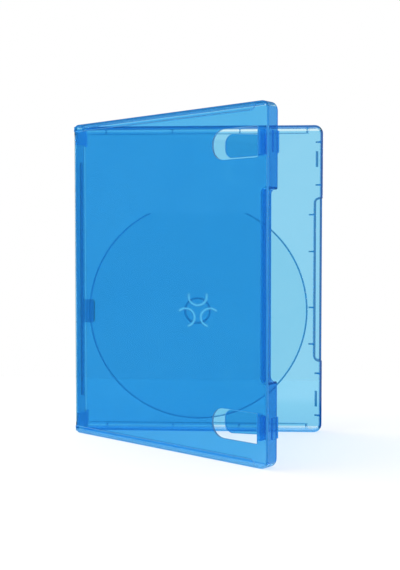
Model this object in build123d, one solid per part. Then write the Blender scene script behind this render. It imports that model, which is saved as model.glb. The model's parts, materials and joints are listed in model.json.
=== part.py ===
from build123d import *

import os
from math import cos, radians, sin, tan

# Keep case for a game disc: one clear moulding of two shallow halves, a spine and two thin folds.
# It is drawn closed, in millimetres, and then folded open to the way it stands.
# Closed: X runs from the spine's outside to the free edge, Y from the cover's outside to the tray's
# outside with mid-depth at 0, and Z from the bottom edge up.

# Closed case: the cover is the deeper half, and the tray takes the rest of the depth
CASE_WIDTH = 135.0
CASE_HEIGHT = 171.5
CASE_DEPTH = 14.0
COVER_DEPTH = 8.1
SHEET = 1.2
WALL = 1.2
RIM_GAP = 0.2
FREE_CORNER = 4.6
SPINE_CORNER = 3.3
LEAST_CORNER = 0.3
EDGE_ROUND = 1.1
RIM_ROUND = 0.25

# Raised border along the top and bottom of each outer face
BORDER_PROUD = 0.4
BORDER_WIDTH = 4.0
BORDER_STOP = 7.3
BORDER_TURN = 2.4
BORDER_ROUND = 0.35

# Living hinges: thin film, how far it reaches each way from the fold line, and how far the spine is
# folded open from the tray and the cover from the spine
FILM = 0.5
FILM_REACH = 1.15
SPINE_OPEN = 15.5
COVER_OPEN = 22.5
SPINE_STOP = 4.0
SPINE_END_GAP = 0.2
RETURN_LENGTH = 11.0

# Spine: rounded strip, its rib and the tab that keeps the disc down
SPINE_END_ROUND = 0.6
RIB_LENGTH = 131.0
RIB_TALL = 1.7
RIB_THICK = 1.0
KEEPER_TALL = 8.3
KEEPER_LENGTH = 13.0
KEEPER_ROUND = 1.5

# Thumb notch in the middle of both free edges
NOTCH_LENGTH = 89.6
NOTCH_DEPTH = 3.6
NOTCH_ROUND = 2.0
NOTCH_MOUTH_ROUND = 0.9

# Disc seat: middle of the disc from the free edge and from the bottom, and its ridge
DISC_FROM_FREE_EDGE = 69.5
DISC_FROM_BOTTOM = 68.1
SEAT_RADIUS = 61.2
SEAT_RISE = 0.3
SEAT_OPEN_HALF_ANGLE = 26.2
RIDGE_WIDTH = 0.9
RIDGE_TALL = 0.9
RIDGE_ROUND = 0.4

# Disc hub: ring, snap lip and sprung fingers, each freed by a curved slot that bends round its tip
HUB_RADIUS = 7.35
HUB_WALL = 0.9
HUB_GRIP = 1.8
LIP_TALL = 0.6
LIP_PROUD = 0.2
FINGERS = ("top", "left", "right")
FIRST_FINGER_ANGLE = 90.0
SLOT_PAST_HUB = 0.65
SLOT_WIDTH = 1.2
HUB_WEB = 2.36
ROOT_PAST_SLOT = 1.1
ROOT_GAP = 0.03

# Gussets in the tray: along the top and bottom, beside the thumb notch and on its wall
GUSSET_THICK = 0.8
GUSSET_REACH = 2.6
GUSSET_RISE = 3.4
GUSSET_TIP_RISE = 1.2
GUSSET_SAG = 0.3
SIDE_GUSSETS = 4
SIDE_GUSSET_FROM_FREE_EDGE = 8.6
SIDE_GUSSET_FROM_SPINE = 13.9
GUSSET_FROM_END = 9.05
GUSSET_PAST_NOTCH = 8.1
NOTCH_GUSSETS_FROM_NOTCH_END = (8.5, 29.1)

# Snap latches: a lug on the cover goes between the tray's wall and a catch bar
LATCH_FROM_END = 18.5
LUG_LENGTH = 10.2
LUG_THICK = 0.8
LUG_PAST_RIM = 2.8
LUG_FROM_FLOOR = 3.8
LATCH_CLEARANCE = 0.2
BAR_LENGTH = 8.6
BAR_THICK = 1.3
BAR_PAST_LUG = 0.8
BAR_ROUND = 0.25
BEAD_PROUD = 0.3
BEAD_HALF_WIDTH = 0.35
BEAD_FROM_TIP = 0.5

# Booklet clips: tongue over a cut-out in the cover, on a post beside the free edge. Its side towards
# mid-height runs along the cut-out, and its other side draws in from the tip to the root.
CLIP_FROM_END = 18.75
CLIP_ROOT_FROM_FREE_EDGE = 6.1
CLIP_LENGTH = 23.2
CLIP_INNER_GAP = 1.0
CLIP_OUTER_GAP_AT_TIP = 1.6
CLIP_OUTER_GAP_AT_ROOT = 3.8
CLIP_TIP_ROUND = 4.5
CLIP_EDGE_ROUND = 0.3
CLIP_THICK = 1.0
CLIP_GAP = 3.3
CLIP_RIB_LENGTH = 4.0
CLIP_RIB_WIDTH = 0.8
CLIP_RIB_TALL = 0.4
POST_THICK = 1.2
POST_LENGTH = 11.5
CUTOUT_LENGTH = 27.6
CUTOUT_WIDTH = 14.6
CUTOUT_END_ROUND = 7.0
CUTOUT_ROOT_ROUND = 0.6

# Working allowances: how far joined shapes run into each other, how far cuts run past a face,
# how close counts as on a line, and the largest share of a width that a corner round may take
OVERLAP = 0.4
PASS = 5.0
TOUCH = 0.01
FULL_ROUND = 0.95

# Worked out from the sizes above; depth is counted inwards from a half's outermost face
HALF_HEIGHT = CASE_HEIGHT / 2
HALF_DEPTH = CASE_DEPTH / 2
FIELD = BORDER_PROUD
FLOOR = FIELD + SHEET
COVER_RIM = COVER_DEPTH - RIM_GAP / 2
TRAY_RIM = CASE_DEPTH - COVER_DEPTH - RIM_GAP / 2
SEAT = FLOOR + SEAT_RISE
FOLD_INSET = FIELD + FILM / 2
SHEET_START = FOLD_INSET + FILM_REACH
EAR = SPINE_STOP - SPINE_END_GAP
SPINE_LENGTH = CASE_HEIGHT - 2 * SPINE_STOP
DISC_U = CASE_WIDTH - DISC_FROM_FREE_EDGE
DISC_V = DISC_FROM_BOTTOM - HALF_HEIGHT
HUB_TOP = SEAT + HUB_GRIP + LIP_TALL
FINGER_STEP = 360 / len(FINGERS)
SLOT_OFFSET = HUB_RADIUS + SLOT_PAST_HUB
SLOT_RADIUS = SLOT_OFFSET * sin(radians(FINGER_STEP / 2)) - (SLOT_WIDTH + HUB_WEB) / 2
FINGER_ROOT = SLOT_OFFSET + ROOT_PAST_SLOT
FREE_WALL_INSIDE = CASE_WIDTH - WALL
NOTCH_WALL_INSIDE = CASE_WIDTH - NOTCH_DEPTH - WALL
LATCH_V = HALF_HEIGHT - LATCH_FROM_END
LUG_BASE = FLOOR + LUG_FROM_FLOOR
LUG_TOP = COVER_DEPTH + LUG_PAST_RIM
LUG_OUTSIDE = FREE_WALL_INSIDE - LATCH_CLEARANCE
LUG_INSIDE = LUG_OUTSIDE - LUG_THICK
BAR_OUTSIDE = LUG_INSIDE - LATCH_CLEARANCE
BAR_TOP = CASE_DEPTH - LUG_TOP + BAR_PAST_LUG
BEAD_DEPTH = LUG_TOP - BEAD_FROM_TIP
CLIP_V = HALF_HEIGHT - CLIP_FROM_END
CLIP_ROOT_U = CASE_WIDTH - CLIP_ROOT_FROM_FREE_EDGE
CLIP_BASE = FLOOR + CLIP_GAP
CLIP_TOP = CLIP_BASE + CLIP_THICK
REAR_FOLD = Vector(FOLD_INSET, HALF_DEPTH - FOLD_INSET, 0)
FRONT_FOLD = Vector(FOLD_INSET, FOLD_INSET - HALF_DEPTH, 0)

# A half is drawn flat: u from the spine, v from mid-height, depth inwards
TRAY_PLANE = Plane(origin=(0, HALF_DEPTH, HALF_HEIGHT), x_dir=(1, 0, 0), z_dir=(0, -1, 0))
COVER_PLANE = Plane(origin=(0, -HALF_DEPTH, HALF_HEIGHT), x_dir=(1, 0, 0), z_dir=(0, 1, 0))


def area(u_low, u_high, v_low, v_high):
    """A rectangle between two u and two v values."""
    middle = Pos((u_low + u_high) / 2, (v_low + v_high) / 2)
    return middle * Rectangle(u_high - u_low, v_high - v_low)


def slab(face, low, high):
    """A flat outline raised from one depth to another."""
    return extrude(Pos(0, 0, low) * face, amount=high - low, dir=(0, 0, 1))


def rounded_panel(u_low, u_high, half, spine_round, free_round):
    """A panel as high as twice a half, with one corner round beside the spine and one at the free edge."""
    face = area(u_low, u_high, -half, half)
    face = fillet(face.vertices().group_by(Axis.X)[0], spine_round)
    return fillet(face.vertices().group_by(Axis.X)[-1], free_round)


def outline_face():
    """The outside of a half; the round beside the spine stays within its ear."""
    spine_round = min(SPINE_CORNER, (EAR - RIM_ROUND) * FULL_ROUND)
    return rounded_panel(0, CASE_WIDTH, HALF_HEIGHT, spine_round, FREE_CORNER)


def notch_face(grown):
    """The thumb notch, grown by the same amount all round."""
    half = NOTCH_LENGTH / 2 + grown
    face = area(CASE_WIDTH - NOTCH_DEPTH - grown, CASE_WIDTH + PASS, -half, half)
    return fillet(face.vertices().group_by(Axis.X)[0], NOTCH_ROUND + grown)


def spine_recess():
    """The gap beside the spine between the panel's two solid ears."""
    half = HALF_HEIGHT - EAR
    return area(-PASS, SHEET_START, -half, half)


def inside_face():
    """The hollow between the walls, open to the spine between the two corner returns."""
    half_open = HALF_HEIGHT - RETURN_LENGTH
    wall_end = SHEET_START + WALL
    free_round = max(FREE_CORNER - WALL, LEAST_CORNER)
    face = rounded_panel(wall_end, FREE_WALL_INSIDE, HALF_HEIGHT - WALL, LEAST_CORNER, free_round)
    to_spine = area(SHEET_START - OVERLAP, wall_end + WALL, -half_open, half_open)
    return face - notch_face(WALL) + to_spine


def border_strip(side):
    """Raised border on the outer face along the top (side 1) or bottom (side -1) edge."""
    outer = HALF_HEIGHT - EDGE_ROUND
    inner = HALF_HEIGHT - BORDER_WIDTH
    face = area(EDGE_ROUND, CASE_WIDTH - BORDER_STOP, inner, outer)
    turn = min(BORDER_TURN, (outer - inner) * FULL_ROUND)
    face = fillet(face.vertices().group_by(Axis.X)[-1].sort_by(Axis.Y)[0], turn)
    strip = slab(face, 0, FIELD + OVERLAP)
    strip = fillet(strip.edges().group_by(Axis.Z)[0], BORDER_ROUND)
    return strip if side > 0 else mirror(strip, Plane.XZ)


def half_shell(rim):
    """One half of the case: sheet, walls up to the rim, corner returns, notch and borders."""
    block = slab(outline_face(), FIELD, rim)
    block = fillet(block.edges().group_by(Axis.Z)[0], min(EDGE_ROUND, SHEET * FULL_ROUND))
    shell = block - slab(inside_face(), FLOOR, rim + PASS) - slab(notch_face(0), FLOOR, rim + PASS)
    for side in (1, -1):
        shell += border_strip(side)
    shell -= slab(spine_recess(), -PASS, rim + PASS)
    half_notch = NOTCH_LENGTH / 2 + TOUCH
    upright = shell.edges().filter_by(Axis.Z)
    at_free_edge = upright.filter_by_position(Axis.X, CASE_WIDTH - TOUCH, CASE_WIDTH + TOUCH)
    mouth = at_free_edge.filter_by_position(Axis.Y, -half_notch, half_notch)
    shell = fillet(mouth, min(NOTCH_MOUTH_ROUND, WALL * FULL_ROUND))
    return fillet(shell.edges().group_by(Axis.Z)[-1], min(RIM_ROUND, WALL / 2 * FULL_ROUND))


def gusset(u, v, inward):
    """Curved stiffener in the corner of a wall and the floor, reaching inwards along the floor."""
    tip, top = (GUSSET_REACH, GUSSET_TIP_RISE), (0, GUSSET_RISE)
    drop = GUSSET_RISE - GUSSET_TIP_RISE
    middle = (GUSSET_REACH * GUSSET_SAG, GUSSET_TIP_RISE + drop * GUSSET_SAG)
    curve = ThreePointArc(tip, middle, top)
    in_wall, in_corner, in_floor = (-OVERLAP, GUSSET_RISE), (-OVERLAP, -OVERLAP), (GUSSET_REACH, -OVERLAP)
    back = Polyline(top, in_wall, in_corner, in_floor, tip)
    across = Vector(*inward, 0).cross(Vector(0, 0, 1))
    plane = Plane(origin=(u, v, FLOOR), x_dir=(*inward, 0), z_dir=across)
    return extrude(plane * make_face(curve + back), amount=GUSSET_THICK / 2, both=True)


def tray_gussets():
    """All gussets of the tray: along the top and bottom, beside the notch and on its wall."""
    first = SIDE_GUSSET_FROM_SPINE
    pitch = (CASE_WIDTH - SIDE_GUSSET_FROM_FREE_EDGE - first) / (SIDE_GUSSETS - 1)
    beside_notch = (HALF_HEIGHT - GUSSET_FROM_END, NOTCH_LENGTH / 2 + GUSSET_PAST_NOTCH)
    found = []
    for side in (1, -1):
        for index in range(SIDE_GUSSETS):
            found.append(gusset(first + index * pitch, side * (HALF_HEIGHT - WALL), (0, -side)))
        for from_middle in beside_notch:
            found.append(gusset(FREE_WALL_INSIDE, side * from_middle, (-1, 0)))
        for from_end in NOTCH_GUSSETS_FROM_NOTCH_END:
            found.append(gusset(NOTCH_WALL_INSIDE, side * (NOTCH_LENGTH / 2 - from_end), (-1, 0)))
    return found


def disc_seat():
    """Thicker floor under the disc with a ridge round it, both open at the top for a fingertip."""
    chord = SEAT_RADIUS * cos(radians(SEAT_OPEN_HALF_ANGLE))
    below_chord = area(-2 * SEAT_RADIUS, 2 * SEAT_RADIUS, -2 * SEAT_RADIUS, chord)
    pad = Circle(SEAT_RADIUS) & below_chord
    ring = (Circle(SEAT_RADIUS + RIDGE_WIDTH / 2) - Circle(SEAT_RADIUS - RIDGE_WIDTH / 2)) & below_chord
    ridge = slab(ring, FLOOR - OVERLAP, FLOOR + RIDGE_TALL)
    ridge_round = min(RIDGE_ROUND, RIDGE_WIDTH / 2 * FULL_ROUND)
    ridge = fillet(ridge.edges().group_by(Axis.Z)[-1], ridge_round)
    seat = slab(pad, FLOOR - OVERLAP, SEAT) + ridge
    return (Pos(DISC_U, DISC_V) * seat) & slab(inside_face(), FLOOR - OVERLAP, TRAY_RIM)


def finger_angles():
    """Directions from the hub's middle to each finger's root."""
    return [FIRST_FINGER_ANGLE + FINGER_STEP * index for index in range(len(FINGERS))]


def finger_plan(radius, root):
    """A round-ended tongue that points at the hub's middle, cut square at its root."""
    tongue = Pos(SLOT_OFFSET, 0) * Circle(radius)
    return tongue & area(SLOT_OFFSET - 2 * radius, root, -2 * radius, 2 * radius)


def hub_ring():
    """Ring that goes through the disc, with a lip that snaps over it."""
    inside = Circle(HUB_RADIUS - HUB_WALL)
    grip = slab(Circle(HUB_RADIUS) - inside, SEAT - OVERLAP, SEAT + HUB_GRIP)
    lip = slab(Circle(HUB_RADIUS + LIP_PROUD) - inside, SEAT + HUB_GRIP, HUB_TOP)
    lip = fillet(lip.edges().group_by(Axis.Z)[-1].sort_by(SortBy.RADIUS)[-1], LIP_TALL / 2)
    return grip + lip


def hub_slots():
    """Through cuts that free the fingers, round at both ends of each slot."""
    outer = SLOT_RADIUS + SLOT_WIDTH / 2
    end_v = (SLOT_RADIUS**2 - ROOT_PAST_SLOT**2) ** 0.5
    face = finger_plan(outer, FINGER_ROOT)
    for side in (1, -1):
        face += Pos(FINGER_ROOT, side * end_v) * Circle(SLOT_WIDTH / 2)
    cut = slab(face, -PASS, HUB_TOP + PASS)
    return [Pos(DISC_U, DISC_V) * Rot(0, 0, angle) * cut for angle in finger_angles()]


def hub_finger(angle):
    """One sprung finger of the hub with its piece of the ring."""
    plan = finger_plan(SLOT_RADIUS - SLOT_WIDTH / 2, FINGER_ROOT - ROOT_GAP)
    tongue = slab(plan, FIELD, SEAT)
    claw = hub_ring() & slab(plan, FIELD, HUB_TOP + PASS)
    return Pos(DISC_U, DISC_V) * Rot(0, 0, angle) * (tongue + claw)


def catch_bar(side):
    """Rib that holds the latch lug against the tray's wall."""
    half = BAR_LENGTH / 2
    face = area(BAR_OUTSIDE - BAR_THICK, BAR_OUTSIDE, side * LATCH_V - half, side * LATCH_V + half)
    bar = slab(face, FLOOR - OVERLAP, BAR_TOP)
    return fillet(bar.edges().group_by(Axis.Z)[-1], min(BAR_ROUND, BAR_THICK / 2 * FULL_ROUND))


def bead(side, base_u, depth, proud, length):
    """Small ridge of triangular section along v, which stands out from a face at base_u."""
    plane = Plane(origin=(base_u, side * LATCH_V, depth), x_dir=(1, 0, 0), z_dir=(0, -1, 0))
    foot, sunk = [(0, BEAD_HALF_WIDTH), (0, -BEAD_HALF_WIDTH)], -OVERLAP
    buried = [(sunk, -BEAD_HALF_WIDTH), (sunk, BEAD_HALF_WIDTH)]
    section = make_face(Polyline(foot[0], (proud, 0), foot[1], *buried, close=True))
    return extrude(plane * section, amount=length / 2, both=True)


def latch_groove(side):
    """Groove inside the tray's wall for the lug's bead."""
    proud = BEAD_PROUD - LATCH_CLEARANCE / 2
    return bead(side, FREE_WALL_INSIDE, CASE_DEPTH - BEAD_DEPTH, proud, LUG_LENGTH + 2 * LATCH_CLEARANCE)


def latch_lug(side):
    """Lug on the inside of the cover's free wall, with a bead near its tip."""
    half = LUG_LENGTH / 2
    low, high = side * LATCH_V - half, side * LATCH_V + half
    root = slab(area(LUG_INSIDE, FREE_WALL_INSIDE + OVERLAP, low, high), LUG_BASE, COVER_RIM - RIM_ROUND)
    blade = slab(area(LUG_INSIDE, LUG_OUTSIDE, low, high), LUG_BASE, LUG_TOP)
    return root + blade + bead(side, LUG_OUTSIDE, BEAD_DEPTH, BEAD_PROUD, LUG_LENGTH)


def clip_cutout(side):
    """Through cut in the cover below a clip, round at its inner end."""
    half = CUTOUT_WIDTH / 2
    face = area(CLIP_ROOT_U - CUTOUT_LENGTH, CLIP_ROOT_U, side * CLIP_V - half, side * CLIP_V + half)
    face = fillet(face.vertices().group_by(Axis.X)[0], min(CUTOUT_END_ROUND, half * FULL_ROUND))
    face = fillet(face.vertices().group_by(Axis.X)[-1], CUTOUT_ROOT_ROUND)
    return slab(face, -PASS, FLOOR + OVERLAP)


def clip_post(side):
    """Short wall between the cover's sheet and the root of a clip."""
    half = POST_LENGTH / 2
    face = area(CLIP_ROOT_U, CLIP_ROOT_U + POST_THICK, side * CLIP_V - half, side * CLIP_V + half)
    return slab(face, FLOOR - OVERLAP, CLIP_TOP)


def booklet_clip(side):
    """Sprung tongue that holds a booklet against the cover."""
    root_u = CLIP_ROOT_U - ROOT_GAP
    tip_u = CLIP_ROOT_U - CLIP_LENGTH
    inner = CLIP_INNER_GAP - CUTOUT_WIDTH / 2
    tip = CUTOUT_WIDTH / 2 - CLIP_OUTER_GAP_AT_TIP
    root = CUTOUT_WIDTH / 2 - CLIP_OUTER_GAP_AT_ROOT
    face = make_face(Polyline((tip_u, inner), (root_u, inner), (root_u, root), (tip_u, tip), close=True))
    tip_round = min(CLIP_TIP_ROUND, (tip - inner) / 2 * FULL_ROUND)
    face = fillet(face.vertices().group_by(Axis.X)[0], tip_round)
    tongue = slab(face, CLIP_BASE, CLIP_TOP)
    edge_round = min(CLIP_EDGE_ROUND, CLIP_THICK / 2 * FULL_ROUND)
    past_root = tongue.edges().filter_by_position(Axis.X, tip_u - TOUCH, root_u - TOUCH)
    tongue = fillet(past_root.group_by(Axis.Z)[0] + past_root.group_by(Axis.Z)[-1], edge_round)
    half_rib = CLIP_RIB_WIDTH / 2
    rib_face = area(root_u - CLIP_RIB_LENGTH, root_u, -half_rib, half_rib)
    rib = slab(rib_face, CLIP_TOP - OVERLAP, CLIP_TOP + CLIP_RIB_TALL)
    clip = Pos(0, CLIP_V) * (tongue + rib)
    return clip if side > 0 else mirror(clip, Plane.XZ)


def back_tray():
    """Half that holds the disc."""
    tray = half_shell(TRAY_RIM) + disc_seat() + Pos(DISC_U, DISC_V) * hub_ring()
    for piece in tray_gussets():
        tray += piece
    for cut in hub_slots():
        tray -= cut
    for side in (1, -1):
        tray += catch_bar(side)
        tray -= latch_groove(side)
    return tray


def front_cover():
    """Half that carries the booklet clips and the latch lugs."""
    cover = half_shell(COVER_RIM)
    for side in (1, -1):
        cover -= clip_cutout(side)
        cover += clip_post(side)
        cover += latch_lug(side)
    return cover


def spine_rib(tall, length, height):
    """Rib of a given length on the strip's inner face, with its middle at a height."""
    low = FLOOR - OVERLAP
    middle = Pos((low + FLOOR + tall) / 2, 0, height)
    return middle * Box(tall + OVERLAP, RIB_THICK, length)


def spine():
    """Strip between the folds, with a rib and the disc keeper on its inner face, drawn closed."""
    width = CASE_DEPTH - 2 * (FOLD_INSET + FILM_REACH)
    strip = Pos(FIELD + SHEET / 2, 0, HALF_HEIGHT) * Box(SHEET, width, SPINE_LENGTH)
    strip = fillet(strip.edges().filter_by(Axis.X), min(SPINE_END_ROUND, width / 2 * FULL_ROUND))
    keeper = spine_rib(KEEPER_TALL, KEEPER_LENGTH, DISC_FROM_BOTTOM)
    keeper_round = min(KEEPER_ROUND, KEEPER_LENGTH / 2 * FULL_ROUND)
    keeper = fillet(keeper.edges().filter_by(Axis.Y).group_by(Axis.X)[-1], keeper_round)
    return strip + spine_rib(RIB_TALL, RIB_LENGTH, HALF_HEIGHT) + keeper


def turned(point, pivot, degrees):
    """A point turned about an upright line through a pivot, clockwise from above."""
    return pivot + (point - pivot).rotate(Axis.Z, -degrees)


def direction(degrees):
    """Unit vector in plan, counted clockwise from +X seen from above."""
    return Vector(1, 0, 0).rotate(Axis.Z, -degrees)


def hinge_film(pivot, first, second):
    """Thin film bent between two sheets that point away from the fold line in two directions."""
    bisector = (first + second).normalized()
    half_angle = radians(first.get_angle(second) / 2)
    centre = pivot + bisector * (FILM_REACH / cos(half_angle))
    radius = FILM_REACH * tan(half_angle)
    arcs = []
    for face_radius in (radius + FILM / 2, radius - FILM / 2):
        spokes = [(pivot + way * FILM_REACH - centre) * (face_radius / radius) for way in (first, second)]
        arcs.append(ThreePointArc(centre + spokes[0], centre - bisector * face_radius, centre + spokes[1]))
    outline = arcs[0] + arcs[1] + Line(arcs[0] @ 0, arcs[1] @ 0) + Line(arcs[0] @ 1, arcs[1] @ 1)
    return Pos(0, 0, SPINE_STOP) * extrude(make_face(outline), amount=SPINE_LENGTH, dir=(0, 0, 1))


def opened(shape, folds):
    """A closed shape folded open about each fold's line in turn, by that fold's angle."""
    for pivot, degrees in folds:
        shape = shape.rotate(Axis(pivot, (0, 0, 1)), -degrees)
    return shape


front_fold_open = turned(FRONT_FOLD, REAR_FOLD, SPINE_OPEN)
spine_folds = ((REAR_FOLD, SPINE_OPEN),)
cover_folds = ((FRONT_FOLD, COVER_OPEN), *spine_folds)
along_tray = direction(0)
along_spine = direction(90 + SPINE_OPEN)
along_cover = direction(SPINE_OPEN + COVER_OPEN)

nodes = {
    "back_tray": TRAY_PLANE * back_tray(),
    "spine": opened(spine(), spine_folds),
    "front_cover": opened(COVER_PLANE * front_cover(), cover_folds),
    "rear_hinge_film": hinge_film(REAR_FOLD, along_tray, along_spine),
    "front_hinge_film": hinge_film(front_fold_open, along_cover, along_spine * -1),
    "upper_booklet_clip": opened(COVER_PLANE * booklet_clip(-1), cover_folds),
    "lower_booklet_clip": opened(COVER_PLANE * booklet_clip(1), cover_folds),
}
for name, angle in zip(FINGERS, finger_angles()):
    nodes[f"{name}_hub_finger"] = TRAY_PLANE * hub_finger(angle)

# The origin is the middle of the open case's footprint, on the surface it stands on
box = Compound(list(nodes.values())).bounding_box()
to_origin = Vector(-(box.min.X + box.max.X) / 2, -(box.min.Y + box.max.Y) / 2, -box.min.Z)

os.makedirs("parts", exist_ok=True)
for name, shape in nodes.items():
    export_step(Pos(to_origin) * shape, f"parts/{name}.step")

# Places of the fold lines and roots in the finished frame
clip_root = Vector(CLIP_ROOT_U - ROOT_GAP, CLIP_TOP - HALF_DEPTH, 0)
clip_root = turned(turned(clip_root, FRONT_FOLD, COVER_OPEN), REAR_FOLD, SPINE_OPEN)
hub_middle = Vector(DISC_U, HALF_DEPTH - SEAT, DISC_FROM_BOTTOM)
print("rear fold", REAR_FOLD + to_origin)
print("front fold", front_fold_open + to_origin)
print("clip roots", clip_root + to_origin, "at heights", CLIP_FROM_END, CASE_HEIGHT - CLIP_FROM_END)
print("hub middle on the seat", hub_middle + to_origin)
for name, angle in zip(FINGERS, finger_angles()):
    to_root = Vector(FINGER_ROOT - ROOT_GAP, SEAT - FIELD, 0).rotate(Axis.Y, -angle)
    print(name, "finger root", hub_middle + to_root + to_origin)
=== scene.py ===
# %% [markdown]
# A clear blue keep case for a game disc, standing half open on a white studio table. Its solids are
# exact already: two shallow halves, a spine, two booklet clips and three hub fingers. They could be
# modelled once more here, but then the two models would drift apart. So the imported model is loaded as
# a fixed frame, and this lesson adds the camera, the clear plastic, two curved hinge films and the
# studio.

# %% Load the frame
import json
from math import cos, radians, sin

import bpy
import numpy as np
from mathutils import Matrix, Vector


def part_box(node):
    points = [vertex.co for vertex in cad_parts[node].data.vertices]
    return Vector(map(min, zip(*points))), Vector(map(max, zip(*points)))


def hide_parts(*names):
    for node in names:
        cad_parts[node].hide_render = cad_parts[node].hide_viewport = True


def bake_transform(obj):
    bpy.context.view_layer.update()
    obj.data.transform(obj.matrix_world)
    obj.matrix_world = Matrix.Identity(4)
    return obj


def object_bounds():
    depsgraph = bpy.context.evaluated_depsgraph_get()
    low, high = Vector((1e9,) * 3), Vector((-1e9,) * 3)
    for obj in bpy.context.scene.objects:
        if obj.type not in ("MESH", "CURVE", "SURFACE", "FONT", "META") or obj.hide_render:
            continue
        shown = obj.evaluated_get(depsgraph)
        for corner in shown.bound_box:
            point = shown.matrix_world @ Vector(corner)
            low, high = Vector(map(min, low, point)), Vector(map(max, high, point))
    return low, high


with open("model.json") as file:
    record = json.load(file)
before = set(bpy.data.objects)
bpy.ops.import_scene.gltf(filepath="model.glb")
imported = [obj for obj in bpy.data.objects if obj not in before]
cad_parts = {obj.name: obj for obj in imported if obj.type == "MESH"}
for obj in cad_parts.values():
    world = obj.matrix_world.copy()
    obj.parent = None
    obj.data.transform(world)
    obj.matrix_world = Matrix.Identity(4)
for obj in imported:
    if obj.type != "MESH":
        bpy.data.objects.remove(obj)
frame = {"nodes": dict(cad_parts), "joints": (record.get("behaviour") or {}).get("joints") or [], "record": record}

cad_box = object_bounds()
nodes = frame["nodes"]
joints = {joint["name"]: joint for joint in frame["joints"]}
print("CAD box", [tuple(round(value, 4) for value in corner) for corner in cad_box])
print("nodes", sorted(nodes))

# %% [markdown]
# The camera comes first, because it decides which surfaces carry the picture. A wide lens close by
# would spread the half-open case too much. A longer lens about half a metre away looks almost straight
# at the tray, from a little above the case's middle. Its place and its focal length were found by
# fitting the case's known height and corners to the photograph, so they are odd numbers.

# %% Camera
IMAGE_HEIGHT = 570
EYE = Vector((0.0293, -0.4674, 0.1033))
LOOK_LEFT = radians(3.217)
LOOK_DOWN = radians(2.319)
LENS_PIXELS = 908.5
SENSOR = 36.0
NEAREST = 0.01

camera_data = bpy.data.cameras.new("studio_camera")
camera_data.sensor_fit = "VERTICAL"
camera_data.sensor_height = SENSOR
camera_data.lens = LENS_PIXELS / IMAGE_HEIGHT * SENSOR
camera_data.clip_start = NEAREST
camera = bpy.data.objects.new("studio_camera", camera_data)
bpy.context.scene.collection.objects.link(camera)
camera.location = EYE
camera.rotation_euler = (radians(90) - LOOK_DOWN, 0, LOOK_LEFT)
bpy.context.scene.camera = camera
print("lens", round(camera_data.lens, 2), "mm")

# %% [markdown]
# Every finish below is a node tree. Trees can be drawn by hand in the shader editor, or written link
# by link, but then their maths is hard to read. Here one small class wraps a node's output socket.
# Its operators add Math nodes, so a mask reads as a plain expression, and its make method adds any
# other node.


# %% Node helper
class Socket:
    """One output socket of a node tree, with operators that add Math nodes."""

    def __init__(self, tree, output):
        self.tree = tree
        self.output = output

    @staticmethod
    def make(tree, kind, settings=None, output=0, **inputs):
        """Add a node of a kind: its settings first, then the values or links of its sockets.

        A socket goes by its name, with _ for a space, or by its number, as in _0 for the first.
        """
        node = tree.nodes.new("ShaderNode" + kind)
        for name, value in (settings or {}).items():
            setattr(node, name, value)
        for name, value in inputs.items():
            slot = node.inputs[int(name[1:]) if name[0] == "_" else name.replace("_", " ")]
            if isinstance(value, Socket):
                tree.links.new(value.output, slot)
            else:
                slot.default_value = value
        return Socket(tree, node.outputs[output]) if node.outputs else None

    def maths(self, operation, first, second=0.0):
        """A Math node on one or two values, either of which may be a number."""
        return Socket.make(self.tree, "Math", {"operation": operation}, _0=first, _1=second)

    def __add__(self, other):
        return self.maths("ADD", self, other)

    def __radd__(self, other):
        return self.maths("ADD", other, self)

    def __sub__(self, other):
        return self.maths("SUBTRACT", self, other)

    def __rsub__(self, other):
        return self.maths("SUBTRACT", other, self)

    def __mul__(self, other):
        return self.maths("MULTIPLY", self, other)

    def __rmul__(self, other):
        return self.maths("MULTIPLY", other, self)

    def __abs__(self):
        return self.maths("ABSOLUTE", self)

    def root(self):
        """The square root."""
        return self.maths("SQRT", self)

    def larger(self, other):
        """The larger of two values."""
        return self.maths("MAXIMUM", self, other)

    def capped(self, most):
        """The value, but no more than a limit."""
        return self.maths("MINIMUM", self, most)

    def smooth(self, low, high):
        """0 below low, 1 above high and a smooth rise between them."""
        settings = {"interpolation_type": "SMOOTHSTEP"}
        return Socket.make(self.tree, "MapRange", settings, Value=self, From_Min=low, From_Max=high)


make = Socket.make
print("socket helper ready")

# %% [markdown]
# The case is moulded in clear polypropylene with a blue dye. Volume absorption alone could stand for the
# dye, but then a wall seen along its length turns almost black. On the real case such walls stay light,
# because this plastic also scatters a little. So the blue is shared out: a thin dye in the volume, which
# still deepens with thickness, and later a tint on each face that light crosses.

# %% Dye
DYE_COLOUR = (0.013, 0.70, 0.91, 1.0)
DYE_DENSITY = 180.0
SHEET_THICK = 0.0012

let_through = np.exp(-DYE_DENSITY * SHEET_THICK * (1 - np.array(DYE_COLOUR[:3])))
print("a sheet's dye lets through", let_through.round(2).tolist())

# %% [markdown]
# Melted plastic flows into the mould, and slow swirls of a little more or less dye stay in the sheet.
# The sheet isn't quite flat either, so what it mirrors is bent. Both are too shallow to be worth a mesh.
# One curled noise will vary the tint and the gloss, and another, slower still, feeds a Bump node.

# %% Swirls and waves
FLOW_SCALE = 24.0
FLOW_DETAIL = 3.0
FLOW_CURL = 1.2
FLOW_FROM = 0.35
FLOW_FULL = 0.75
WAVE_SCALE = 9.0
WAVE_DETAIL = 1.0
WAVE_HEIGHT = 0.0004
WAVE_STRENGTH = 0.3


def swirls(tree):
    """How far the dye's flow thickens, from 0 to 1."""
    place = make(tree, "TexCoord", output="Object")
    settled = {"Scale": FLOW_SCALE, "Detail": FLOW_DETAIL, "Distortion": FLOW_CURL}
    return make(tree, "TexNoise", Vector=place, **settled).smooth(FLOW_FROM, FLOW_FULL)


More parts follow.
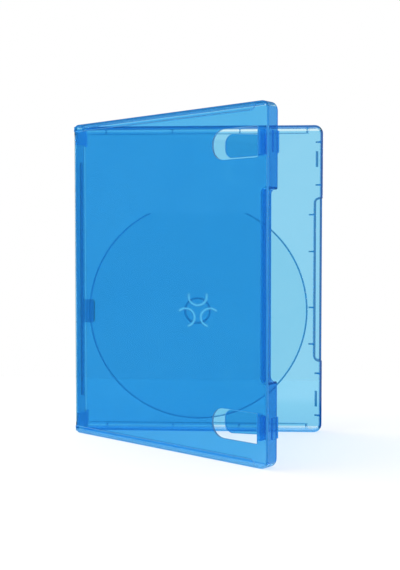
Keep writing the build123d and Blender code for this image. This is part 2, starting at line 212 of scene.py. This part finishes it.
def waves(tree):
    """The normal of a sheet that isn't quite flat."""
    place = make(tree, "TexCoord", output="Object")
    noise = make(tree, "TexNoise", Vector=place, Scale=WAVE_SCALE, Detail=WAVE_DETAIL)
    return make(tree, "Bump", Strength=WAVE_STRENGTH, Distance=WAVE_HEIGHT, Height=noise)


print("swirls about", round(1000 / FLOW_SCALE), "mm and waves about", round(1000 / WAVE_SCALE), "mm long")

# %% [markdown]
# A moulded half isn't the same all over: its panel is polished and its walls are duller. Its walls, edges
# and raised details also get painted shade, and its level walls and solid corners get painted light. Each
# face could get a material slot of its own, but the solids are fixed and a slot ends in a hard line. Masks
# find such places instead. They are ranges along the object's own coordinates, so they stay put when the
# case moves, and their ends are softened as a moulded edge is.

# %% Soft-edged masks
BLUR = 0.0002


def axes(tree, vector):
    """The X, Y and Z of a vector."""
    return [make(tree, "SeparateXYZ", output=axis, _0=vector) for axis in range(3)]


def past(value, limit):
    """0 below a limit and 1 above it, softened over a fraction of a millimetre."""
    return value.smooth(limit - BLUR, limit + BLUR)


def between(value, low, high):
    """1 between two limits and 0 outside them."""
    return past(value, low) * (1 - past(value, high))


print("masks end within", round(2 * BLUR * 1000, 1), "mm")

# %% [markdown]
# Both halves have these places: the side faces, which stand square to the panel and slide along the mould
# as it opens; bent edges; the level walls at top and bottom; the foot that the case stands on; the line
# along the top; the step of the raised border; the solid corners by the spine; and the walls beside the
# cut-outs under the clips. How far a face is turned from its panel comes from its normal, which is safer
# than a list of faces, and where it lies comes from its height and its distance from the spine.

# %% Places on a half
HALF_HEIGHT = cad_box[1][2] / 2

# How far a face is turned from its panel, or for a level one how far it looks up or down, from 0 to 1
SIDE_FROM = 0.02
SIDE_FULL = 0.45
BEND_FROM = 0.05
BEND_FULL = 0.6
LEVEL_FROM = 0.05
LEVEL_FULL = 0.3

# Depths in from the top and bottom ends; the outline is at the top only
LEVEL_LOW = 0.0026
LEVEL_HIGH = 0.0013
OUTLINE_WIDE = 0.0013
BORDER_LOW = 0.0043
BORDER_HIGH = 0.0035
SOLID_CORNER = 0.0113

# Heights of the foot, distances of the cut-outs from the half height, and places along X
FOOT_FULL = 0.0014
FOOT_FROM = 0.0026
CUT_LOW = 0.0500
CUT_FROM = 0.0350
CUT_FULL = 0.0365
HINGE_FREE_FROM = -0.0625
HINGE_FREE_FULL = -0.0600


def places(tree, facing, border_end):
    """Masks from 0 to 1 of the places on a half whose panel faces a given way."""
    x, _, z = axes(tree, make(tree, "TexCoord", output="Object"))
    normal = make(tree, "TexCoord", output="Normal")
    up = axes(tree, normal)[2]
    along = make(tree, "VectorMath", {"operation": "DOT_PRODUCT"}, "Value", _0=normal, _1=facing)
    turned = 1 - along * along
    side = turned.smooth(SIDE_FROM, SIDE_FULL)
    bent = (4 * turned * (1 - turned)).smooth(BEND_FROM, BEND_FULL)
    reach = abs(z - HALF_HEIGHT)
    off_hinge = x.smooth(HINGE_FREE_FROM, HINGE_FREE_FULL)
    level = between(reach, HALF_HEIGHT - LEVEL_LOW, HALF_HEIGHT - LEVEL_HIGH)
    foot = 1 - z.smooth(FOOT_FULL, FOOT_FROM)
    border = between(reach, HALF_HEIGHT - BORDER_LOW, HALF_HEIGHT - BORDER_HIGH)
    cut_height = between(reach, CUT_LOW, HALF_HEIGHT - LEVEL_LOW)
    return {
        "side": side,
        # Painted shade: side faces away from the hinge take a darker tint, for the dark lines a clear case shows
        # along its walls
        "dark": side * off_hinge,
        "bend": bent * (1 - (up * up).smooth(LEVEL_FROM, LEVEL_FULL)),
        "level": level,
        "foot": foot,
        # Painted light: a pale tint on the level walls at top and bottom and on the foot, for the light the sky
        # and the white table throw on them
        "level_or_foot": level.larger(foot),
        # Painted shade: a near-black line along the top's rounded edges, which bend the view towards the dark
        # studio
        "outline": past(z, 2 * HALF_HEIGHT - OUTLINE_WIDE),
        # Painted shade: a darker band along the step of the raised border
        "border": border * (1 - past(x, border_end)) * off_hinge,
        # Painted light: the solid corners by the spine get a pale tint, which keeps them lighter than their thick
        # plastic would render
        "corner": past(reach, HALF_HEIGHT - SOLID_CORNER) * (1 - off_hinge) * side,
        "beside_cut": (1 - x.smooth(CUT_FROM, CUT_FULL)) * cut_height * side,
    }


print("case stands", round(2 * HALF_HEIGHT * 1000, 1), "mm high")

# %% [markdown]
# The cover and its clips have only those places. Its panel is turned from the tray's by both folds. The
# angle could be written down once more, but the joints hold it already: their lower limit is the closed
# case, which says how far each fold stands open at rest.

# %% Places on the cover
COVER_BORDER_SHORT = 0.0125

spine_open = radians(-joints["spine_fold"]["range_deg"][0])
cover_open = radians(-joints["cover_fold"]["range_deg"][0])
all_open = spine_open + cover_open


def cover_places(tree):
    """Masks of the cover's places, also for the clips on it."""
    border_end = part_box("front_cover")[1][0] - COVER_BORDER_SHORT
    return places(tree, (sin(all_open), cos(all_open), 0.0), border_end)


print("cover and tray stand", round(np.degrees(all_open), 1), "degrees from parallel")

# %% [markdown]
# The tray also has what stands proud of its floor: the ridge round the disc seat, the hub, and pegs and
# bars by the free edge. They get painted shade, most of all towards the free edge, where no cover stands
# in front of them. A narrow rim runs along the thumb notch and gets the painted shade of the top's outline,
# and a line along the free edge is painted dark too. The seat inside the ridge is a shade deeper than the
# floor around it, and ends in a straight line at its top, where the ridge is open. Its middle is the hub,
# whose place is read from the record, so that the two stay together.

# %% Places on the tray
TRAY_BORDER_SHORT = 0.0075
FLOOR_DEPTH = 0.0016
PROUD_FROM = 0.0004
PROUD_FULL = 0.0007
RIM_WIDE = 0.0012
NOTCH_HALF = 0.0448
DARK_LINES_FROM = 0.020
DARK_LINES_FULL = 0.048
SEAT_RADIUS = 0.0612
SEAT_OPEN = radians(26.2)

tray_floor = cad_box[1][1] - FLOOR_DEPTH
mounts = {mount["name"]: mount for mount in frame["record"]["mounts"]}
hub_x, _, hub_z = mounts["disc_hub"]["pos_m"]
seat_top = hub_z + SEAT_RADIUS * cos(SEAT_OPEN)


def tray_places(tree):
    """Masks of the tray's places: those of any half and the tray's own."""
    masks = places(tree, (0.0, 1.0, 0.0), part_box("back_tray")[1][0] - TRAY_BORDER_SHORT)
    x, y, z = axes(tree, make(tree, "TexCoord", output="Object"))
    off_x = x - hub_x
    off_z = z - hub_z
    from_hub = (off_x * off_x + off_z * off_z).root()
    proud = (tray_floor - y).smooth(PROUD_FROM, PROUD_FULL)
    free_edge = past(x, cad_box[1][0] - RIM_WIDE)
    notch_rim = free_edge * (1 - past(abs(z - HALF_HEIGHT), NOTCH_HALF))
    edge_line = free_edge * past(y, tray_floor)
    # Painted shade: on the tray the darker side tint also covers what stands proud of the floor, away from the
    # hinge
    masks["dark"] = masks["side"].larger(proud) * x.smooth(HINGE_FREE_FROM, HINGE_FREE_FULL)
    # Painted shade: proud details, darker towards the free edge, and a line along the free edge are tinted near
    # black
    masks["dark_lines"] = proud * x.smooth(DARK_LINES_FROM, DARK_LINES_FULL) + edge_line * (1 - proud)
    # Painted shade: the tray's thumb-notch rim gets the same dark outline
    masks["outline"] = masks["outline"].larger(notch_rim)
    masks["seat"] = (1 - past(from_hub, SEAT_RADIUS)) * (1 - past(z, seat_top))
    return masks


print("seat ends", round((seat_top - hub_z) * 1000, 1), "mm above the hub")

# %% [markdown]
# Each place has a tint of its own. Light is tinted as it crosses a face. Most of these tints are painted
# shade and painted light: a dark tint on a wall paints the dark lines that a clear case shows along its
# edges, and a pale one paints light onto a level wall, the foot and the solid corners. The tints could be
# one long colour ramp, but places overlap, so they are laid over each other in turn.

# %% Tints
# Painted shade along the raised border's step
BORDER_SHADE = (0.45, 0.70, 0.80, 1.0)
SEAT_TINT = (0.87, 0.955, 0.965, 1.0)
# Painted shade for the tray's proud details and its free-edge line
DARK_LINE_SHADE = (0.002, 0.10, 0.27, 1.0)
# Painted light on the solid corners by the spine
CORNER_LIGHT = (0.55, 0.82, 0.93, 1.0)
# Painted light on the level walls and the foot
LEVEL_LIGHT = (0.80, 0.93, 0.96, 1.0)
# Painted shade: the dark outline along the top edges
OUTLINE_SHADE = (0.01, 0.09, 0.20, 1.0)


def blended(tree, amount, first, second, mode="MIX"):
    """Two colours mixed by an amount, on the sockets that a Mix node keeps for colours."""
    settings = {"data_type": "RGBA", "blend_type": mode}
    return make(tree, "Mix", settings, 2, _0=amount, _6=first, _7=second)


def tinted(tree, tint, masks, side_shade):
    """A sheet's tint with the tint of each place laid over it, the last one on top; most are painted shade and
    painted light.
    """
    # Painted shade: the border, side, dark-line and outline tints; painted light: the corner and level tints
    layers = (
        ("border", BORDER_SHADE, "MULTIPLY"),
        ("seat", SEAT_TINT, "MULTIPLY"),
        ("dark", side_shade, "MIX"),
        ("dark_lines", DARK_LINE_SHADE, "MIX"),
        ("corner", CORNER_LIGHT, "MIX"),
        ("level_or_foot", LEVEL_LIGHT, "MIX"),
        ("outline", OUTLINE_SHADE, "MIX"),
    )
    for place, colour, mode in layers:
        if place in masks:
            tint = blended(tree, masks[place], tint, colour, mode)
    return tint


print("deepest tint", DARK_LINE_SHADE[:3], "and palest", SEAT_TINT[:3])

# %% [markdown]
# This plastic is never as clear as glass. It is milky where it was drawn along the mould or is bent
# tightly, and the cover's sheet is faintly cloudy, which softens what lies behind it. A dense scattering
# volume would show that too, but slowly and with noise. A dull shader, half of it thrown back and half
# let onward, is mixed into the clear one instead. Walls, edges and lines get a blue haze. The foot and the
# walls beside the cut-outs look almost frosted, so theirs is pale.

# %% Haze
EDGE_HAZE = (0.09, 0.50, 0.96, 1.0)
PALE_HAZE = (0.48, 0.79, 0.95, 1.0)
SHEET_HAZE = (0.03, 0.53, 0.93, 1.0)
LINE_SHARE = 0.25
CUT_SHARE = 0.30
FOOT_SHARE = 0.60
FOOT_FRONT = 0.4
MOST_HAZE = 0.9
ONWARD_SHARE = 0.5


def milky(tree, colour):
    """Dull plastic that scatters light both back and onward."""
    back = make(tree, "BsdfDiffuse", Color=colour)
    onward = make(tree, "BsdfTranslucent", Color=colour)
    return make(tree, "MixShader", _0=ONWARD_SHARE, _1=back, _2=onward)


def hazed(tree, surface, masks, wall, edge, sheet=0.0):
    """A clear surface with haze mixed in, in given shares on the walls, the bent edges and the sheet."""
    walls = (wall * masks["side"] + edge * masks["bend"]) * (1 - masks["level"])
    lines = LINE_SHARE * masks["outline"]
    foot = FOOT_SHARE * masks["foot"] * (FOOT_FRONT + (1 - FOOT_FRONT) * masks["side"])
    layers = [
        ((walls + lines).capped(MOST_HAZE), EDGE_HAZE),
        ((foot + CUT_SHARE * masks["beside_cut"]).capped(MOST_HAZE), PALE_HAZE),
    ]
    if sheet:
        layers.insert(0, (sheet * (1 - masks["side"]), SHEET_HAZE))
    for share, colour in layers:
        surface = make(tree, "MixShader", _0=share, _1=surface, _2=milky(tree, colour))
    return surface


print("haze takes at most", MOST_HAZE, "of a surface")

# %% [markdown]
# The finish itself is a Principled shader with full transmission: glossy, and it bends light as the real
# plastic does. Light that goes on to make a shadow would be lost in it, because bent light needs many
# samples to find a lamp. So a shadow ray passes straight through a Transparent shader, half-way between
# the sheet's tint and white, and the shadow comes out pale and blue.

# %% Clear blue plastic
WHITE = (1.0, 1.0, 1.0, 1.0)
FLOW_TINT = (0.92, 0.975, 0.99, 1.0)
PLASTIC_IOR = 1.49
GLOSS = 0.02
GLOSS_LOSS = 0.05


def empty_tree(owner):
    """Turn on an owner's nodes and take away the ones it starts with."""
    owner.use_nodes = True
    owner.node_tree.nodes.clear()
    return owner.node_tree


def clear_blue_plastic(name, sheet_tint, find_places=None, side_shade=WHITE, **haze):
    """Clear, glossy, dyed plastic in a sheet's tint, with the haze of a half's places and their tints, most of
    them painted shade and painted light.
    """
    material = bpy.data.materials.new(name)
    tree = empty_tree(material)
    masks = find_places(tree) if find_places else {}
    swirl = swirls(tree)
    flow = blended(tree, swirl, WHITE, FLOW_TINT)
    tint = tinted(tree, blended(tree, 1.0, flow, sheet_tint, "MULTIPLY"), masks, side_shade)
    surface = make(
        tree, "BsdfPrincipled", Base_Color=tint, Roughness=GLOSS + GLOSS_LOSS * swirl,
        IOR=PLASTIC_IOR, Transmission_Weight=1.0, Normal=waves(tree),
    )
    if masks:
        surface = hazed(tree, surface, masks, **haze)
    shadow = make(tree, "LightPath", output="Is Shadow Ray")
    clear = make(tree, "BsdfTransparent", Color=tuple((1 + value) / 2 for value in sheet_tint))
    surface = make(tree, "MixShader", _0=shadow, _1=surface, _2=clear)
    dye = make(tree, "VolumeAbsorption", Color=DYE_COLOUR, Density=DYE_DENSITY)
    make(tree, "OutputMaterial", Surface=surface, Volume=dye)
    print(name, len(tree.nodes), "nodes")
    return material


print("roughness from", GLOSS, "to", round(GLOSS + GLOSS_LOSS, 3))

# %% [markdown]
# The case is one moulding, but its pieces don't look alike: the tray's sheet looks pale, the cover and
# the clips a deeper blue, the spine darkest and the hinge films almost clear. One material for all would
# lose that, so the same finish is made once for each kind of piece. The hub's fingers are cut out of the
# tray and share its plastic.

# %% Plastic on the pieces
TRAY_TINT = (0.29, 0.66, 0.865, 1.0)
COVER_TINT = (0.152, 0.555, 0.87, 1.0)
CLIP_TINT = (0.13, 0.54, 0.84, 1.0)
SPINE_TINT = (0.182, 0.47, 0.71, 1.0)
FILM_TINT = (0.70, 0.89, 0.97, 1.0)
# Painted shade: darker tints for the side faces, drawn as the dark lines a clear case shows along its walls
TRAY_SIDE_SHADE = (0.02, 0.17, 0.40, 1.0)
COVER_SIDE_SHADE = (0.11, 0.39, 0.76, 1.0)

tray_plastic = clear_blue_plastic(
    "clear_blue_tray", TRAY_TINT, tray_places, TRAY_SIDE_SHADE, wall=0.25, edge=0.4,
)
cover_plastic = clear_blue_plastic(
    "clear_blue_cover", COVER_TINT, cover_places, COVER_SIDE_SHADE, wall=0.1, edge=0.8, sheet=0.1,
)
clip_plastic = clear_blue_plastic(
    "clear_blue_clip", CLIP_TINT, cover_places, COVER_SIDE_SHADE, wall=0.6, edge=0.4,
)
film_plastic = clear_blue_plastic("clear_blue_film", FILM_TINT)
plastics = {
    "tray": tray_plastic,
    "finger": tray_plastic,
    "cover": cover_plastic,
    "clip": clip_plastic,
    "spine": clear_blue_plastic("clear_blue_spine", SPINE_TINT),
    "film": film_plastic,
}
for name, node in nodes.items():
    last_word = name.split("_")[-1]
    node.data.materials.clear()
    node.data.materials.append(plastics[last_word])
print("plastic on", len(nodes), "nodes")

# %% [markdown]
# The case folds at two living hinges, thin strips of the same plastic that bend thousands of times. In
# the solids each is a stiff strip, so a strip with a curved section takes its place. Its section could be
# drawn point by point. It is worked out here, because all it has to do is leave one sheet, meet the other
# and be thinnest in the middle: an arc between two directions.

# %% Film section
FILM_THICK = 0.0005
FILM_REACH = 0.00113
FILM_ROOT_EXTRA = 0.0005
ARC_POINTS = 25


def film_profile(pivot, first, second):
    """Closed outline in plan of a film between two sheets that leave a fold line.

    The middle line is an arc tangent to both directions at the reach. The outer line lies half a
    thickness outside it; the inner line lies half a thickness inside and sinks further, by the
    fourth power of the distance from the middle, towards the roots.
    """
    half = 0.5 * np.arccos(first @ second)
    bisector = (first + second) / np.linalg.norm(first + second)
    centre = pivot + bisector * FILM_REACH / np.cos(half)
    radius = FILM_REACH * np.tan(half)
    sweep = np.linspace(-1, 1, ARC_POINTS)
    turn = sweep * (np.pi / 2 - half)
    across = np.array([-bisector[1], bisector[0]])
    if first @ across > 0:
        across = -across
    spokes = np.outer(np.sin(turn), across) - np.outer(np.cos(turn), bisector)
    outer = centre + spokes * (radius + FILM_THICK / 2)
    inner = centre + spokes * (radius - FILM_THICK / 2 - FILM_ROOT_EXTRA * sweep**4)[:, None]
    return np.concatenate([outer, inner[::-1]])


print("film", FILM_THICK * 1000, "mm thick, and", (FILM_THICK + FILM_ROOT_EXTRA) * 1000, "mm at its roots")

# %% [markdown]
# The section is the same all the way up, as it comes out of the mould. A curve with a bevel could carry
# it, but leaves its caps as many-sided faces. A grid of points gives clean walls, and caps of four-sided
# faces between the outer line and the inner one.

# %% Strip from a section
HEIGHT_POINTS = 60


def carried_up(name, profile, low, high):
    """Mesh of a closed profile in plan carried straight up from one height to another, with caps.

    Point (i, j) is profile point j at height i, and each face joins four neighbours on that grid.
    """
    count = len(profile)
    heights = np.linspace(low, high, HEIGHT_POINTS)
    points = np.empty((HEIGHT_POINTS, count, 3))
    points[..., :2] = profile
    points[..., 2] = heights[:, None]
    index = np.arange(HEIGHT_POINTS * count).reshape(HEIGHT_POINTS, count)
    after = np.roll(index, -1, axis=1)
    walls = np.stack([index[:-1], after[:-1], after[1:], index[1:]], axis=-1).reshape(-1, 4)
    half = count // 2
    outer = np.arange(half)
    inner = np.arange(count - 1, half - 1, -1)
    cap = np.stack([outer[:-1], inner[:-1], inner[1:], outer[1:]], axis=-1)
    faces = np.concatenate([walls, cap, cap[:, ::-1] + index[-1, 0]])
    mesh = bpy.data.meshes.new(name)
    mesh.from_pydata(points.reshape(-1, 3).tolist(), [], faces.tolist())
    mesh.polygons.foreach_set("use_smooth", np.ones(len(faces), bool))
    mesh.update()
    piece = bpy.data.objects.new(name, mesh)
    bpy.context.scene.collection.objects.link(piece)
    return piece


print("strips have", HEIGHT_POINTS, "rows of", 2 * ARC_POINTS, "points")

# %% [markdown]
# Each strip belongs to two bodies at once. Riding on one of them, it would tear off the other as the case
# opens. Here it is built once, from the joint's parent to its child as they stand at rest, and isn't tied
# to either of them.


def plan_way(angle):
    """Unit vector in plan at an angle clockwise from +X, seen from above: its cosine and minus its sine."""
    return np.array([cos(angle), -sin(angle)])


def hinge_film(name, joint, first, second, finish):
    """One film on a joint's fold line, bending from the joint's parent to its child."""
    pivot = np.array(joints[joint]["pos_m"][:2])
    low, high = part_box(name)
    film = carried_up(name + "_strip", film_profile(pivot, first, second), low[2], high[2])
    film.data.materials.append(finish)
    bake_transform(film)
    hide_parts(name)
    print(film.name, len(film.data.polygons), "faces")


along_tray = plan_way(0)
along_spine = plan_way(radians(90) + spine_open)
along_cover = plan_way(all_open)
hinge_film("rear_hinge_film", "spine_fold", along_tray, along_spine, film_plastic)
hinge_film("front_hinge_film", "cover_fold", -along_spine, along_cover, film_plastic)

# %% [markdown]
# The case stands on a white table that ends a little way behind it. A backdrop that curves up without an
# edge is the usual choice, but its curve would show through the clear sheets. A flat plane against a white
# room gives an even white behind the plastic, and it is stage, so it is no part of the model.

# %% Table
TABLE_BACK = 0.245
TABLE_FRONT = -1.5
TABLE_HALF = 1.5

corner_x = np.array([-TABLE_HALF, TABLE_HALF, TABLE_HALF, -TABLE_HALF])
corner_y = np.array([TABLE_FRONT, TABLE_FRONT, TABLE_BACK, TABLE_BACK])
corners = np.stack([corner_x, corner_y, 0 * corner_x], axis=-1)
table_mesh = bpy.data.meshes.new("table")
table_mesh.from_pydata(corners.tolist(), [], [(0, 1, 2, 3)])
table = bpy.data.objects.new("table", table_mesh)
bpy.context.scene.collection.objects.link(table)
print("table", TABLE_BACK - TABLE_FRONT, "m deep")

# %% [markdown]
# The table is covered with white paper. White could be had with more light, but that would bleach the
# plastic too. So the paper is a middle grey that catches the shadow, with a glow that only the camera
# sees, straight or through the plastic. It glows a little more far away, where less lamp light falls. A
# gloss would turn chalky if it mirrored white everywhere, so mirrored rays find a dim table with one
# bright patch in front of the case, which puts a pale sheen on the cover.

# %% White paper
PAPER_GREY = (0.48, 0.48, 0.48, 1.0)
PAPER_GLOW = 0.50
FAR_GLOW = 0.16
FAR_FROM = 0.35
FAR_FULL = 1.1
MIRRORED_LOW = 0.1
MIRRORED_BRIGHT = 1.2
PATCH_LEFT = -0.03
PATCH_RIGHT = 0.04
PATCH_NEAR = 0.03
PATCH_FAR = 0.08


def rays(tree):
    """Masks of the rays that the camera sends, that come through plastic and that a gloss mirrors."""
    seen = make(tree, "LightPath", output="Is Camera Ray")
    through = make(tree, "LightPath", output="Is Transmission Ray")
    glossy = make(tree, "LightPath", output="Is Glossy Ray")
    return seen, through, glossy * (1 - through)


paper = bpy.data.materials.new("white_paper")
tree = empty_tree(paper)
seen, through, mirrored = rays(tree)
x, y, _ = axes(tree, make(tree, "TexCoord", output="Object"))
away = (x * x + y * y).root()
glow = PAPER_GLOW + FAR_GLOW * away.smooth(FAR_FROM, FAR_FULL)
patch = x.smooth(PATCH_LEFT, PATCH_RIGHT) * (-1 * y).smooth(PATCH_NEAR, PATCH_FAR)
matte = make(tree, "BsdfDiffuse", Color=PAPER_GREY)
shining = make(tree, "Emission", Color=glow * (seen + through))
white_paper = make(tree, "AddShader", _0=matte, _1=shining)
in_gloss = make(tree, "Emission", Color=MIRRORED_LOW + MIRRORED_BRIGHT * patch)
surface = make(tree, "MixShader", _0=mirrored, _1=white_paper, _2=in_gloss)
make(tree, "OutputMaterial", Surface=surface)
table_mesh.materials.append(paper)
print("paper glows by", PAPER_GLOW, "and far away by", PAPER_GLOW + FAR_GLOW)

# %% [markdown]
# The room is white to the camera and through the plastic, and it fills the shadows softly. Walls with
# lamps on them would do the same with more noise, so it is the world's background. A gloss again sees
# another room: dim, a little paler behind the case, and bright in front of it, where a studio has its
# largest softbox.

# %% Room
AMBIENT = 0.7
MIRRORED_BACK = 0.15
BACK_FROM = 0.35
BACK_FULL = 0.7
FRONT_FROM = 0.4
FRONT_FULL = 0.8

world = bpy.data.worlds.new("studio_room")
bpy.context.scene.world = world
tree = empty_tree(world)
seen, through, mirrored = rays(tree)
back = axes(tree, make(tree, "TexCoord", output="Generated"))[1]
front = -1 * back
pale_back = MIRRORED_BACK * back.smooth(BACK_FROM, BACK_FULL)
bright_front = MIRRORED_BRIGHT * front.smooth(FRONT_FROM, FRONT_FULL)
direct = seen + through
in_gloss = mirrored * (MIRRORED_LOW + pale_back + bright_front)
strength = direct + in_gloss + (1 - direct - mirrored) * AMBIENT
make(tree, "OutputWorld", Surface=make(tree, "Background", Color=strength))
print("room fills shadows with", AMBIENT)

# %% [markdown]
# Two lamps model the form. A broad softbox above and to the left makes the soft shadow on the table; a
# gloss doesn't see it, because its square would float in every sheet. A narrow strip light from the right
# runs a thin highlight down the edges. A sun lamp would be simpler, but its shadow is too hard for a
# studio. Both lamps are weak, because the room gives about as much light again.

# %% Lamps
AIM = Vector((0, 0, 0.08))
SOFTBOX_PLACE = (-0.5, 0.05, 0.9)
SOFTBOX_SIZE = 0.8
SOFTBOX_POWER = 7.0
STRIP_PLACE = (0.85, -0.85, 0.35)
STRIP_WIDE = 0.06
STRIP_TALL = 0.6
STRIP_POWER = 2.0


def area_lamp(name, place, wide, tall, power):
    """A rectangular lamp at a place, aimed at the middle of the case."""
    lamp_data = bpy.data.lights.new(name, "AREA")
    lamp_data.energy = power
    lamp_data.shape = "RECTANGLE"
    lamp_data.size = wide
    lamp_data.size_y = tall
    lamp = bpy.data.objects.new(name, lamp_data)
    bpy.context.scene.collection.objects.link(lamp)
    lamp.location = place
    lamp.rotation_euler = (AIM - lamp.location).to_track_quat("-Z", "Y").to_euler()
    print(name, power, "W")
    return lamp


softbox = area_lamp("overhead_softbox", SOFTBOX_PLACE, SOFTBOX_SIZE, SOFTBOX_SIZE, SOFTBOX_POWER)
softbox.visible_glossy = False
area_lamp("strip_light", STRIP_PLACE, STRIP_WIDE, STRIP_TALL, STRIP_POWER)
bpy.context.scene.view_settings.view_transform = "Standard"
